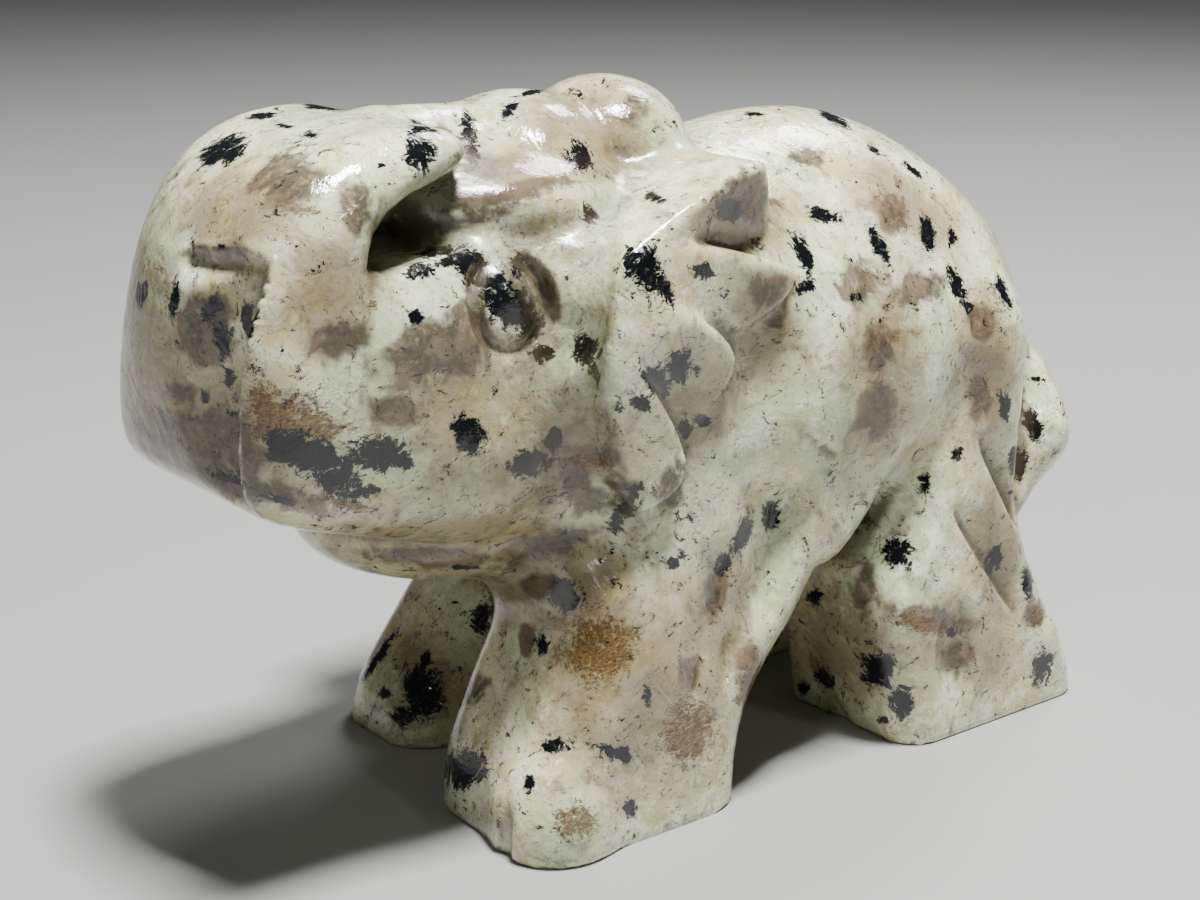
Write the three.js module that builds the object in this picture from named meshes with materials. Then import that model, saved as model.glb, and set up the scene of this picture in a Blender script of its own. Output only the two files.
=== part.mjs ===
// An elephant carved from one piece of pale, black-spotted stone, with its trunk
// curled back over its head, fan-shaped ears cut in four lobes and its tail laid
// to its left. Millimetres, +Z up; the face looks along -Y and the left side is +X.
// The figure is one closed form: rounded plates, eggs and bars run into each
// other, grooves are cut into them, and the result is covered with facets.
import * as THREE from 'three';

// Driving dimension
const LENGTH = 53.7; // front of the trunk to the back of the tail

// The figure is drawn DRAWN_LENGTH long. All its places are in drawn millimetres.
const DRAWN_LENGTH = 53.7;
const SCALE = LENGTH / DRAWN_LENGTH;

// The block it is carved from, and the size of the facets. They are fine over the
// ears and eyes, from the inner to the outer place along each axis, and coarse elsewhere.
const BLOCK = { low: [-14, -27, 0], high: [14, 33, 38] };
const FINE_FACET = 1.05;
const COARSE_FACET = 1.75;
const FINE_OUTSIDE = 7.5; // distance from the middle, to either side
const FINE_ALONG = [-12.5, 5.5];
const FINE_UP = [16, 34];

// Outlines in the side plane: [along Y, up Z]
const TRUNK = [[-24.2, 20.9], [-22.6, 18.6], [-17, 16.8], [-10, 15.0], [-4, 14.8], [2, 16], [6, 22], [6, 28],
  [2, 32.2], [-4, 32.2], [-8, 32.2], [-9.4, 34.4], [-13, 35.7], [-17.6, 35.1], [-21.6, 33.0], [-24.1, 28.6]];
const FRONT_LEG = [[-11.0, -4], [-11.2, 2.5], [-9.4, 6.5], [-7.2, 10.5], [-6.8, 16], [-4, 22], [0, 27],
  [6, 28.5], [9.8, 27], [10.2, 18], [10.0, 13.2], [7.0, 9.6], [4.0, 6.4], [2.4, 3.4], [2.3, -4]];
const FAR_FRONT_LEG = [[-9.4, -4], [-9.0, 2.0], [-5.9, 6], [-2.9, 10], [-2.2, 16], [-2, 22], [0, 27], [6, 28.5],
  [10.2, 26], [10.8, 18], [10.4, 13.4], [7.5, 9.6], [4.3, 6.4], [3.4, 3.4], [3.3, -4]];
const HIND_LEG = [[13.4, -4], [12.6, 3], [11.4, 7], [10.6, 11], [14.2, 15], [15.1, 19.5], [18, 23], [21, 23],
  [22.6, 19.5], [22.4, 14], [22.8, 10.6], [24.3, 7], [26.6, 3.2], [27.4, 0.5], [27.6, -4]];
const BELLY = [[4, 25], [4, 12], [8.3, 10.4], [11.2, 12.6], [14.2, 16.6], [15.9, 20.2], [15.0, 25]];
const TRUNK_GAP = [[-17.2, 29.4], [-17.2, 30.6], [-15.6, 32.2], [-12, 32.9], [-8, 32.8], [-5.2, 32.4],
  [-4.6, 31.6], [-9.6, 30.6], [-14.4, 29.6]];
const BROW = [[-17.1, 27.0], [-17.1, 30.6], [-15.6, 32.3], [-12, 33.4], [-9, 34.2], [-4, 36], [4, 36], [4, 27]];

// The ear's four lobes from the top down. Each begins with its upper edge, front to
// back; sink is how fast it leans in below that edge.
const EAR_LOBES = [
  {
    sink: 0.5,
    ring: [[-7.0, 29.4], [2.6, 33.6], [4.0, 32.0], [4.9, 29.0], [4.6, 27.4], [0, 26], [-6, 25], [-8.2, 26.6]],
  },
  {
    sink: 0.22,
    ring: [[-5.8, 30.8], [4.2, 28.1], [4.6, 27.2], [3.8, 26.0], [1.2, 24.7], [-1.5, 25], [-6, 24.5], [-8, 26.4]],
  },
  {
    sink: 0.3,
    ring: [[-5.6, 28.8], [0.5, 24.7], [0.7, 22.6], [-1.0, 20.6], [-3.0, 19.6], [-5.5, 20.5], [-7.5, 23],
      [-7.6, 26.8]],
  },
  {
    sink: 0.16,
    ring: [[-7.8, 28.0], [-2.4, 19.9], [-2.4, 18.2], [-4.0, 17.0], [-7.0, 16.9], [-7.9, 19.5]],
  },
];

// Plates: how far each reaches from the middle, inside and outside, and how round its edges are
const FACE = { right: -8.3, left: 8.7, edge: 2.8, swell: 0.0011, widest: 24.5 };
const FRONT_LEG_PLATE = { inside: 0.9, outside: 11.9, edge: 3.0 };
const FAR_FRONT_LEG_PLATE = { inside: 3.2, outside: 11.4, edge: 2.8 };
const HIND_LEG_PLATE = { inside: 2.2, outside: 12.8, edge: 2.0 };
const FAR_HIND_LEG_PLATE = { inside: 2.0, outside: 11.6, edge: 2.0 };
const BELLY_PLATE = { left: 11.3, right: 10.6, edge: 2.2 };
const EAR_PLATE = { inside: 4.0, outside: 12.3, edge: 0.6 };
const GAP_REACH = 20; // right through, from side to side
const GAP_EDGE = 0.3;

// How much the sides draw in above a level
const SHOULDER_LEAN = { level: 9, rate: 0.014 };
const THIGH_LEAN = { level: 4, rate: 0.009 };

// Eggs: centre and half-sizes
const BODY = { at: [0.3, 12.9, 20.9], half: [11.2, 16.4, 12.9] };
const NECK = { at: [0, 1.6, 21], half: [10.2, 11, 11.2] };
const JAW = { at: [0.3, -7.0, 15.8], half: [6.8, 10.0, 3.9] };
const CHEEKS = [{ at: [3.0, -10.5, 20.6], half: [6.3, 7.5, 4.4] },
  { at: [-2.8, -10.5, 20.6], half: [6.1, 7.5, 4.4] }];
const BEND_ENDS = [{ at: [9.6, -7.6, 32.6], half: [4.6, 4.4, 3.0] },
  { at: [-9.2, -7.6, 32.6], half: [4.6, 4.4, 3.0] }];
const TRUNK_TIP = { at: [0.3, 1.3, 32.9], half: [4.7, 4.2, 3.5] };
const TRUNK_LOBE = { at: [0.4, -4.0, 33.0], half: [4.6, 4.3, 3.0] };
const GAP_WEB = { at: [0.3, -7.2, 31.4], half: [7.2, 7.4, 2.8] };
const TOE = { at: [9.4, -8.9, 1.4], half: [2.9, 2.8, 3.4] };
const EYE = { at: [7.2, -10.3, 27.4], half: [1.5, 1.8, 1.95] };

// Planes that trim the form: places past the reach along the slant are cut away
const RUMP_PLANE = { slant: [0.62, 0.785], reach: 38.35 };
const FAR_EDGE_PLANE = { at: [-5.8, -24.0, 26.0], normal: [-1, -1.1, 0.35] };
const BROW_PLANE = { at: [8.9, 28.9], slant: [0.62, 0.785] };

// Bars: two ends and the radius at each
const TRUNK_LINK = { from: [0.3, -5, 33.1], to: [0.3, -12, 33.7], radii: [2.4, 2.1] };
const EYE_VALLEY = { from: [10.3, -8.0, 29.2], to: [10.2, -8.2, 25.4], radii: [1.4, 1.2] };
const CHEEK_CHANNEL = { from: [11.0, -8.4, 24.0], to: [10.6, -7.4, 15.5], radii: [0.5, 2.2] };
const FRONT_TOE_GROOVE = { from: [9.0, -11.9, -0.5], to: [9.6, -11.9, 4.0], radii: [0.55, 0.3] };
const HIND_TOE_GROOVE = { from: [7.6, 12.6, -0.5], to: [5.0, 12.2, 3.4], radii: [0.8, 0.3] };

// The hollow beside the belly's crease: places out from the belly's face, with the radius at each
const BELLY_HOLLOW = [{ out: 1.5, along: 17.2, up: 20.0, r: 1.2 }, { out: 1.3, along: 13.2, up: 13.8, r: 1.9 },
  { out: 0.6, along: 9.8, up: 9.4, r: 1.6 }];
const THIGH_HOLLOW = { out: 0.8, along: 16.4, up: 4.8, half: [1.5, 1.3, 2.6] };

// The oval groove round the eye
const EYE_GROOVE = { at: [8.35, -10.3, 27.4], half: [2.0, 2.15], wire: 0.4, tilt: 0.25 };

// Cuts: a line in the side plane, the place of the side's face, the depth at each end,
// the slope of the wall below the line and above it, and the lengths over which it fades
const TRUNK_CREASE = { from: [6.1, 18.6], to: [7.4, 30.2], face: 23.6, depths: [0.8, 1.4], walls: [4, 0.3] };
const TRUNK_LEDGE = {
  from: [0.0, 29.8], to: [7.6, 30.5], face: 23.0, depths: [0.1, 0.8], walls: [0.9, 0.5], fade: [2, 0],
};
const LEG_FOLDS = [
  { from: [7.2, 17.6], to: [-1.6, 4.1], face: 12.0, depths: [1.2, 1.1], walls: [0.3, 1.0], fade: [3.5, 5.5] },
  { from: [2.4, 15.8], to: [-3.2, 4.2], face: 12.0, depths: [0.9, 0.9], walls: [0.25, 0.6], fade: [3.5, 5.5] },
];
const FAR_LEG_FOLDS = [
  { from: [7.2, 17.6], to: [-1.0, 5.0], face: 11.5, depths: [0.7, 0.6], walls: [0.3, 0.9], fade: [3.5, 3.5] },
];
const THIGH_CREASES = [
  { from: [14.6, 15.6], to: [22.8, 4.0], inset: 0, depths: [0.6, 0.9], walls: [2.5, 0.42], fade: [5, 4] },
  { from: [17.6, 18.2], to: [22.8, 9.6], inset: 0.2, depths: [0.5, 1.3], walls: [3, 0.5], fade: [3.5, 2.5] },
];

// Tail: places down its middle, with the radius at each
const TAIL = [{ at: [2.6, 27.4, 20.0], r: 1.6 }, { at: [6.2, 26.5, 17.2], r: 2.4 },
  { at: [7.6, 26.6, 14.8], r: 2.5 }, { at: [8.8, 23.2, 10.6], r: 1.3 }];
const TAIL_FILLET = 1.4;

const clamp01 = (v) => Math.min(Math.max(v, 0), 1);

// 0 at a, 1 at b, with a smooth run between.
function ease(v, a, b) {
  const t = clamp01((v - a) / (b - a));
  return t * t * (3 - 2 * t);
}

// Runs two forms into each other over a fillet of size k.
function join(a, b, k) {
  const h = Math.max(k - Math.abs(a - b), 0) / k;
  return Math.min(a, b) - (h * h * k) / 4;
}

const carve = (a, b, k) => -join(-a, b, k);
const meet = (a, b, k) => -join(-a, -b, k);

// Cuts the corners of a closed outline at a quarter of each side, a few times over.
function rounded(points, rounds = 2) {
  let ring = points;
  for (let round = 0; round < rounds; round += 1) {
    ring = ring.flatMap(([ay, az], i) => {
      const [by, bz] = ring[(i + 1) % ring.length];
      return [[0.75 * ay + 0.25 * by, 0.75 * az + 0.25 * bz], [0.25 * ay + 0.75 * by, 0.25 * az + 0.75 * bz]];
    });
  }
  return ring;
}

// Distance to a closed outline, negative within it.
function outline(points, rounds = 2) {
  const ring = rounded(points, rounds);
  const sides = ring.map(([ay, az], i) => {
    const [by, bz] = ring[(i + 1) % ring.length];
    return { ay, az, bz, ey: by - ay, ez: bz - az, square: (by - ay) ** 2 + (bz - az) ** 2 };
  });
  return (y, z) => {
    let nearest = Infinity;
    let within = false;
    sides.forEach(({ ay, az, bz, ey, ez, square }) => {
      const t = clamp01(((y - ay) * ey + (z - az) * ez) / square);
      nearest = Math.min(nearest, (y - ay - ey * t) ** 2 + (z - az - ez * t) ** 2);
      if ((az > z) !== (bz > z) && y < (ey * (z - az)) / ez + ay) within = !within;
    });
    return (within ? -1 : 1) * Math.sqrt(nearest);
  };
}

// A plate: an outline carried across from one side to the other, its edges rounded.
function plate(points, from, to, edge, rounds = 2) {
  const side = outline(points, rounds);
  return (x, y, z) => {
    const within = side(y, z) + edge;
    const across = Math.abs(x - (from + to) / 2) - ((to - from) / 2 - edge);
    return Math.min(Math.max(within, across), 0) + Math.hypot(Math.max(within, 0), Math.max(across, 0)) - edge;
  };
}

function egg({ at, half }, side = 1) {
  return (x, y, z) => {
    const q = [(x - side * at[0]) / half[0], (y - at[1]) / half[1], (z - at[2]) / half[2]];
    const reach = Math.hypot(...q);
    const slope = Math.hypot(q[0] / half[0], q[1] / half[1], q[2] / half[2]);
    return (reach * (reach - 1)) / Math.max(slope, 1e-9);
  };
}

// A bar with round ends and a radius that runs from one end's to the other's.
function bar({ from, to, radii }, side = 1) {
  const a = [side * from[0], from[1], from[2]];
  const b = [side * to[0], to[1], to[2]];
  const along = b.map((v, i) => v - a[i]);
  const square = along.reduce((sum, v) => sum + v * v, 0);
  return (x, y, z) => {
    const q = [x - a[0], y - a[1], z - a[2]];
    const t = clamp01((q[0] * along[0] + q[1] * along[1] + q[2] * along[2]) / square);
    const off = Math.hypot(q[0] - t * along[0], q[1] - t * along[1], q[2] - t * along[2]);
    return off - (radii[0] + (radii[1] - radii[0]) * t);
  };
}

// A V-shaped cut along a line in the side plane, into a side that stands at x = face.
function cut({ from, to, face, depths, walls, fade = [0, 0] }, side = 1) {
  const reach = Math.hypot(to[0] - from[0], to[1] - from[1]);
  const ey = (to[0] - from[0]) / reach;
  const ez = (to[1] - from[1]) / reach;
  const overrun = 0.3;
  const floorFillet = 0.15;
  const lift = 2.0;
  return (x, y, z) => {
    const along = (y - from[0]) * ey + (z - from[1]) * ez;
    const off = (z - from[1]) * ey - (y - from[0]) * ez;
    const share = Math.min(Math.max(along / reach, -overrun), 1 + overrun);
    let depth = depths[0] + (depths[1] - depths[0]) * share;
    if (fade[0]) depth -= lift * (1 - ease(along, 0, fade[0]));
    if (fade[1]) depth -= lift * ease(along, reach - fade[1], reach);
    const floor = face - depth - side * x;
    const low = (floor - walls[0] * off) / Math.hypot(1, walls[0]);
    const high = (floor + walls[1] * off) / Math.hypot(1, walls[1]);
    return Math.max(meet(low, high, floorFillet), -along - overrun, along - reach - overrun);
  };
}

// An oval trench with a round floor, open outwards, that sinks in by tilt for each millimetre up.
function hoop({ at, half, wire, tilt }, side = 1) {
  return (x, y, z) => {
    const reach = Math.hypot((y - at[1]) / half[0], (z - at[2]) / half[1]);
    const off = (reach - 1) * Math.min(...half);
    const deep = Math.min(side * x - at[0] + tilt * (z - at[2]), 0);
    return Math.hypot(off, deep) - wire;
  };
}

const lean = (x, z, { level, rate }) => x * (1 + rate * Math.max(z - level, 0));

// Trunk and face: one plate that narrows above and below, its far front edge rounded
// away and its brow planed off, a cheek on each side, and the jaw under it
function makeHead() {
  const face = plate(TRUNK, FACE.right, FACE.left, FACE.edge);
  const brow = outline(BROW, 1);
  const cheeks = CHEEKS.map((cheek) => egg(cheek));
  const bendEnds = BEND_ENDS.map((end) => egg(end));
  const jaw = egg(JAW);
  const size = Math.hypot(...FAR_EDGE_PLANE.normal);
  return (d, x, y, z) => {
    const { at, normal } = FAR_EDGE_PLANE;
    const away = [x, y, z].reduce((sum, v, axis) => sum + (v - at[axis]) * normal[axis], 0);
    let head = face(x * (1 + FACE.swell * (z - FACE.widest) ** 2), y, z);
    head = meet(head, away / size, 4);
    const [out, up] = BROW_PLANE.at;
    const bevel = (out - Math.abs(x)) * BROW_PLANE.slant[0] + (up - z) * BROW_PLANE.slant[1];
    head = carve(head, Math.max(brow(y, z), bevel), 2.4);
    head = cheeks.reduce((form, cheek) => join(form, cheek(x, y, z), 1.6), head);
    head = bendEnds.reduce((form, end) => carve(form, end(x, y, z), 1.0), head);
    return join(join(d, head, 2.5), jaw(x, y, z), 0.35);
  };
}

// Four legs, each with its shoulder or thigh: the back edge of a shoulder and the
// front edge of a thigh stand proud of the body, the other edges run into it
function makeLegs() {
  const leg = (points, { inside, outside, edge }) => plate(points, inside, outside, edge);
  const front = leg(FRONT_LEG, FRONT_LEG_PLATE);
  const frontFar = leg(FAR_FRONT_LEG, FAR_FRONT_LEG_PLATE);
  const hind = leg(HIND_LEG, HIND_LEG_PLATE);
  const hindFar = leg(HIND_LEG, FAR_HIND_LEG_PLATE);
  const toe = egg(TOE);
  return (d, x, y, z) => {
    const shoulder = 0.8 + 2.2 * ease(y, 9, 3) * ease(z, 2, 9) + 3.0 * ease(z, 22, 27);
    const thigh = 0.9 + 3.5 * ease(y, 17, 22) + 2.0 * ease(z, 18, 23);
    const fore = lean(x, z, SHOULDER_LEAN);
    const rear = lean(x, z, THIGH_LEAN);
    let form = join(d, join(front(fore, y, z), toe(x, y, z), 1.5), shoulder);
    form = join(form, frontFar(-fore, y, z), shoulder);
    form = join(form, hind(rear, y, z), thigh);
    return join(form, hindFar(-rear, y, z), thigh);
  };
}

// The belly's side, full down to a crease over each thigh, which is hollowed beside it
function makeBelly() {
  const sides = [[1, BELLY_PLATE.left], [-1, BELLY_PLATE.right]].map(([side, face]) => {
    const places = BELLY_HOLLOW.map(({ out, along, up }) => [face + out, along, up]);
    const hollows = [0, 1].map((n) => {
      const radii = [BELLY_HOLLOW[n].r, BELLY_HOLLOW[n + 1].r];
      return bar({ from: places[n], to: places[n + 1], radii }, side);
    });
    return { side, hollows, fold: plate(BELLY, 0, face, BELLY_PLATE.edge) };
  });
  return (d, x, y, z) => sides.reduce((form, { side, hollows, fold }) => {
    const hollow = join(hollows[0](x, y, z), hollows[1](x, y, z), 0.6);
    return join(carve(form, hollow, 1.8), fold(side * x, y, z), 0.3 + 3.5 * ease(z, 14, 20));
  }, d);
}

// The trunk's end in two lobes on the forehead, and the run that joins it to the bend
function makeTrunkEnd() {
  const tip = egg(TRUNK_TIP);
  const lobe = egg(TRUNK_LOBE);
  const link = bar(TRUNK_LINK);
  return (d, x, y, z) => {
    const lobes = join(tip(x, y, z), lobe(x, y, z), 0.5);
    return join(d, join(lobes, link(x, y, z), 1.0), 0.8);
  };
}

// An ear in four lobes that lap like shingles: each sinks in below its upper edge, the
// more so towards the back, and the next one's upper edge stands over it
function makeEar(side) {
  const lobes = EAR_LOBES.map(({ ring, sink }) => {
    const [[ay, az], [by, bz]] = ring;
    const reach = Math.hypot(by - ay, bz - az);
    const fan = plate(ring, EAR_PLATE.inside, EAR_PLATE.outside, EAR_PLATE.edge);
    return { fan, ay, az, ey: (by - ay) / reach, ez: (bz - az) / reach, sink };
  });
  return (d, x, y, z) => {
    const out = side * x + 0.13 * Math.max(z - 26, 0) + 0.06 * Math.max(-y - 2, 0);
    const ear = lobes.reduce((form, { fan, ay, az, ey, ez, sink }) => {
      const along = (y - ay) * ey + (z - az) * ez;
      const below = Math.max((y - ay) * ez - (z - az) * ey, 0);
      return join(form, fan(out + sink * below * ease(along, 1.5, 7), y, z), 0.25);
    }, EAR_PLATE.outside);
    return join(d, ear, 0.4 + 2.2 * ease(y, -2.5, -7) + 1.0 * ease(z, 29, 32));
  };
}

// The gap between the trunk and the forehead, open right through at its front end and
// closed by a rounded web behind
function makeGap() {
  const gap = plate(TRUNK_GAP, -GAP_REACH, GAP_REACH, GAP_EDGE, 1);
  const web = egg(GAP_WEB);
  return (d, x, y, z) => join(carve(d, gap(x, y, z), 0.5), web(x, y, z), 1.2);
}

// One side of the head: the valley in front of the ear, the eye in its groove, and the
// channel between cheek and ear
function makeFaceCuts(side) {
  const valley = bar(EYE_VALLEY, side);
  const groove = hoop(EYE_GROOVE, side);
  const eye = egg(EYE, side);
  const channel = bar(CHEEK_CHANNEL, side);
  return (d, x, y, z) => {
    let form = carve(d, valley(x, y, z), 1.4);
    form = carve(form, groove(x, y, z), 0.2);
    form = join(form, eye(x, y, z), 0.2);
    return carve(form, channel(x, y, z), 1.4);
  };
}

// The crease down the trunk's near edge and the ledge across its front
function makeTrunkFront() {
  const crease = cut(TRUNK_CREASE);
  const ledge = cut(TRUNK_LEDGE);
  return (d, x, y, z) => carve(carve(d, crease(-y, x, z), 0.2), ledge(-y, x, z), 0.2);
}

// Long folds down the backs of the front legs, the creases and the hollow on each
// thigh, and the grooves that part the toes of the near feet
function makeLegFolds() {
  const near = LEG_FOLDS.map((fold) => cut(fold));
  const far = FAR_LEG_FOLDS.map((fold) => cut(fold));
  const thighs = [[1, HIND_LEG_PLATE.outside], [-1, FAR_HIND_LEG_PLATE.outside]].flatMap(([side, face]) => {
    const { out, along, up, half } = THIGH_HOLLOW;
    const creases = THIGH_CREASES.map((crease) => ({
      form: cut({ ...crease, face: face - crease.inset }, side),
      fillet: 0.25,
    }));
    return [...creases, { form: egg({ at: [face + out, along, up], half }, side), fillet: 1.2 }];
  });
  const toes = [bar(FRONT_TOE_GROOVE), bar(HIND_TOE_GROOVE)];
  return (d, x, y, z) => {
    const fore = lean(x, z, SHOULDER_LEAN);
    const rear = lean(x, z, THIGH_LEAN);
    let form = near.reduce((all, fold) => carve(all, fold(fore, y, z), 0.4), d);
    form = far.reduce((all, fold) => carve(all, fold(-fore, y, z), 0.4), form);
    form = thighs.reduce((all, thigh) => carve(all, thigh.form(rear, y, z), thigh.fillet), form);
    return toes.reduce((all, toe) => carve(all, toe(x, y, z), 0.5), form);
  };
}

function makeTail() {
  const links = TAIL.slice(1).map((next, i) => {
    const last = TAIL[i];
    return bar({ from: last.at, to: next.at, radii: [last.r, next.r] });
  });
  return (d, x, y, z) => {
    const tail = links.map((link) => link(x, y, z)).reduce((a, b) => join(a, b, TAIL_FILLET));
    return join(d, tail, TAIL_FILLET);
  };
}

// The whole figure: neck and body, planed down a little over the rump, then each step in turn
function makeFigure() {
  const body = egg(BODY);
  const neck = egg(NECK);
  const steps = [makeHead(), makeLegs(), makeBelly(), makeTrunkEnd(), makeEar(1), makeEar(-1), makeGap(),
    makeFaceCuts(1), makeFaceCuts(-1), makeTrunkFront(), makeLegFolds(), makeTail()];
  return (x, y, z) => {
    const above = y * RUMP_PLANE.slant[0] + z * RUMP_PLANE.slant[1] - RUMP_PLANE.reach;
    const trunkless = join(meet(body(x, y, z), above, 3), neck(x, y, z), 4);
    return steps.reduce((d, step) => step(d, x, y, z), trunkless);
  };
}

// Levels from low to high, each a facet further than the last.
function levels(low, high, isFine) {
  const list = [low];
  while (list[list.length - 1] < high) {
    const last = list[list.length - 1];
    list.push(last + (isFine(last) ? FINE_FACET : COARSE_FACET));
  }
  return list;
}

// Covers the figure with facets. The block is cut into cells, each cell that the
// surface passes through gets a point for each sheet of surface in it, drawn on to
// the tangent planes where the surface crosses the cell's edges, and each crossed
// edge gets the four points round it as two facets. The lowest layer lies on Z = 0.
function cover(figure) {
  const sunk = COARSE_FACET / 2;
  const axes = [
    levels(BLOCK.low[0], BLOCK.high[0], (x) => Math.abs(x) > FINE_OUTSIDE),
    levels(BLOCK.low[1], BLOCK.high[1], (y) => y > FINE_ALONG[0] && y < FINE_ALONG[1]),
    levels(-sunk, BLOCK.high[2], (z) => z > FINE_UP[0] && z < FINE_UP[1]),
  ];
  const size = axes.map((axis) => axis.length);
  const index = (i, j, k) => (i * size[1] + j) * size[2] + k;
  const value = new Float64Array(size[0] * size[1] * size[2]);
  for (let i = 0; i < size[0]; i += 1) {
    for (let j = 0; j < size[1]; j += 1) {
      for (let k = 0; k < size[2]; k += 1) {
        const standing = k > 0 ? figure(axes[0][i], axes[1][j], axes[2][k]) : 1;
        value[index(i, j, k)] = standing;
      }
    }
  }
  const slopeAt = ([x, y, z]) => {
    const e = 0.02;
    const g = [figure(x + e, y, z) - figure(x - e, y, z), figure(x, y + e, z) - figure(x, y - e, z),
      figure(x, y, z + e) - figure(x, y, z - e)];
    const reach = Math.hypot(...g) || 1;
    return g.map((v) => v / reach);
  };

  // The place where the surface crosses a cell edge, found by halving.
  const crossing = (a, b) => {
    let inner = a.value < 0 ? a.at : b.at;
    let outer = a.value < 0 ? b.at : a.at;
    for (let round = 0; round < 12; round += 1) {
      const middle = inner.map((v, axis) => (v + outer[axis]) / 2);
      if (figure(...middle) < 0) inner = middle;
      else outer = middle;
    }
    return inner.map((v, axis) => (v + outer[axis]) / 2);
  };

  const CORNERS = [0, 1, 2, 3, 4, 5, 6, 7].map((n) => [n & 1, (n >> 1) & 1, n >> 2]);
  const EDGES = [];
  CORNERS.forEach((corner, n) => [0, 1, 2].forEach((axis) => {
    if (!corner[axis]) EDGES.push({ from: n, to: n | (1 << axis), axis });
  }));
  const FACES = [];
  [0, 1, 2].forEach((axis) => [0, 1].forEach((level) => {
    FACES.push(EDGES.map((edge, e) => e).filter((e) => {
      const { from, to } = EDGES[e];
      return CORNERS[from][axis] === level && CORNERS[to][axis] === level;
    }));
  }));

  // Groups a cell's crossed edges into sheets. On a face crossed four times, the
  // two crossings next to one inner corner belong together.
  const sheetsOf = (inner) => {
    const sheet = EDGES.map((edge, e) => (inner[edge.from] !== inner[edge.to] ? e : -1));
    const unite = (a, b) => {
      const [from, to] = [sheet[a], sheet[b]];
      sheet.forEach((s, e) => {
        if (s === from) sheet[e] = to;
      });
    };
    FACES.forEach((face) => {
      const crossed = face.filter((e) => sheet[e] >= 0);
      if (crossed.length === 2) unite(crossed[0], crossed[1]);
      if (crossed.length === 4) {
        crossed.forEach((a) => crossed.forEach((b) => {
          const shared = [EDGES[a].from, EDGES[a].to].find((n) => n === EDGES[b].from || n === EDGES[b].to);
          if (a < b && shared !== undefined && inner[shared]) unite(a, b);
        }));
      }
    });
    return sheet;
  };

  const points = [];
  const pointOf = new Map();
  const crossings = new Map();
  const crossingOn = (i, j, k, edge) => {
    const a = [i, j, k].map((n, axis) => n + CORNERS[edge.from][axis]);
    const b = [i, j, k].map((n, axis) => n + CORNERS[edge.to][axis]);
    const key = index(...a) * 3 + edge.axis;
    if (!crossings.has(key)) {
      const ends = [a, b].map((n) => ({ at: n.map((m, axis) => axes[axis][m]), value: value[index(...n)] }));
      if (a[2] === 0 && edge.axis === 2) {
        crossings.set(key, { at: [ends[0].at[0], ends[0].at[1], 0], slope: [0, 0, -1] });
      } else {
        const at = crossing(...ends);
        crossings.set(key, { at, slope: slopeAt(at) });
      }
    }
    return crossings.get(key);
  };

  for (let i = 0; i < size[0] - 1; i += 1) {
    for (let j = 0; j < size[1] - 1; j += 1) {
      for (let k = 0; k < size[2] - 1; k += 1) {
        const inner = CORNERS.map(([di, dj, dk]) => value[index(i + di, j + dj, k + dk)] < 0);
        if (inner.every((v) => v === inner[0])) continue;
        const sheet = sheetsOf(inner);
        [...new Set(sheet.filter((s) => s >= 0))].forEach((name) => {
          const found = EDGES.filter((edge, e) => sheet[e] === name).map((edge) => crossingOn(i, j, k, edge));
          const low = [i, j, k].map((n, axis) => axes[axis][n]);
          const high = [i, j, k].map((n, axis) => axes[axis][n + 1]);
          let at = [0, 1, 2].map((axis) => found.reduce((sum, c) => sum + c.at[axis], 0) / found.length);
          for (let round = 0; round < 20; round += 1) {
            const pull = [0, 0, 0];
            found.forEach((c) => {
              const off = c.slope.reduce((sum, s, axis) => sum + s * (c.at[axis] - at[axis]), 0);
              c.slope.forEach((s, axis) => {
                pull[axis] += (off * s) / found.length;
              });
            });
            at = at.map((v, axis) => Math.min(Math.max(v + pull[axis], low[axis]), high[axis]));
          }
          if (k === 0) at[2] = 0;
          EDGES.forEach((edge, e) => {
            if (sheet[e] === name) pointOf.set(index(i, j, k) * 12 + e, points.length);
          });
          points.push(at);
        });
      }
    }
  }

  // Each crossed edge is seen from the four cells round it under another number.
  const facets = [];
  const addFacets = (ring) => {
    const gap = (a, b) => Math.hypot(...points[a].map((v, axis) => v - points[b][axis]));
    const [a, b, c, d] = ring;
    if (gap(a, c) <= gap(b, d)) facets.push(a, b, c, a, c, d);
    else facets.push(a, b, d, b, c, d);
  };
  for (let i = 0; i < size[0] - 1; i += 1) {
    for (let j = 0; j < size[1] - 1; j += 1) {
      for (let k = 0; k < size[2] - 1; k += 1) {
        [0, 1, 2].forEach((axis) => {
          const here = [i, j, k];
          const next = here.map((n, a) => n + (a === axis ? 1 : 0));
          const u = (axis + 1) % 3;
          const v = (axis + 2) % 3;
          const inside = value[index(...here)] < 0;
          if (here[u] === 0 || here[v] === 0 || inside === value[index(...next)] < 0) return;
          const ring = [[1, 1], [0, 1], [0, 0], [1, 0]].map(([du, dv]) => {
            const cell = [...here];
            cell[u] -= du;
            cell[v] -= dv;
            const from = (du << u) | (dv << v);
            const e = EDGES.findIndex((edge) => edge.from === from && edge.axis === axis);
            return pointOf.get(index(...cell) * 12 + e);
          });
          addFacets(inside ? ring : ring.reverse());
        });
      }
    }
  }
  return { points, facets };
}

// Brings the covered figure to size, with the middle of its box over the origin.
function makeGeometry() {
  const { points, facets } = cover(makeFigure());
  const geometry = new THREE.BufferGeometry();
  geometry.setAttribute('position', new THREE.Float32BufferAttribute(points.flat(), 3));
  geometry.setIndex(facets);
  geometry.scale(SCALE, SCALE, SCALE);
  geometry.computeBoundingBox();
  const middle = geometry.boundingBox.getCenter(new THREE.Vector3());
  geometry.translate(-middle.x, -middle.y, -geometry.boundingBox.min.z);
  geometry.computeVertexNormals();
  return geometry;
}

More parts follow.
